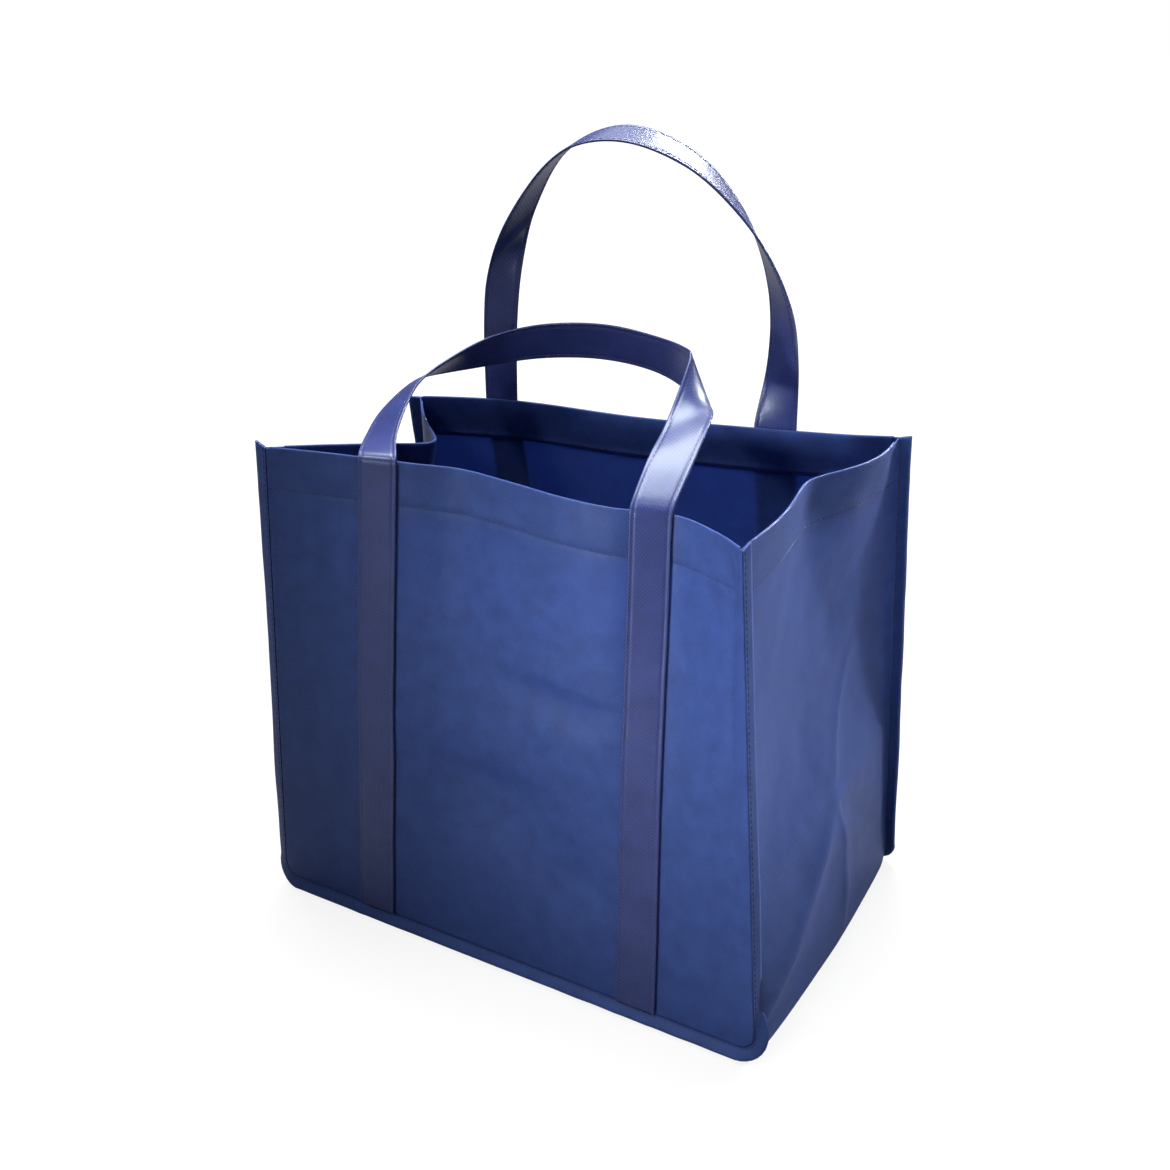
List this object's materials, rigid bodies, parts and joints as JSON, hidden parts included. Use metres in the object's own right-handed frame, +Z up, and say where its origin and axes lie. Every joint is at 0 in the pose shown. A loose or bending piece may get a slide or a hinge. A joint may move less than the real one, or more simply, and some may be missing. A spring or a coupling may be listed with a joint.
{
  "type": "non-woven shopping bag",
  "caption": "Open-topped, square-bottomed shopping bag of non-woven cloth, with outside seam fins, folding sides and a sewn-on strap handle on each big panel.",
  "frame": {"origin": "middle of the underside of the bag's floor", "axes": "+Z up along the bag's height, +X to the right along its wide front panel, -Y out of the front panel"},
  "size_m": [0.3455, 0.2311, 0.4632],
  "materials": {
    "cloth": "embossed spunbond, satin",
    "strap": "folded spunbond, satin",
    "board": "matt sheet"
  },
  "bodies": {
    "root": {"front_panel": "cloth", "back_panel": "cloth", "side_and_floor": "cloth", "front_handle": "strap", "rear_handle": "strap", "bottom_board": "board"}
  },
  "joints": []
}
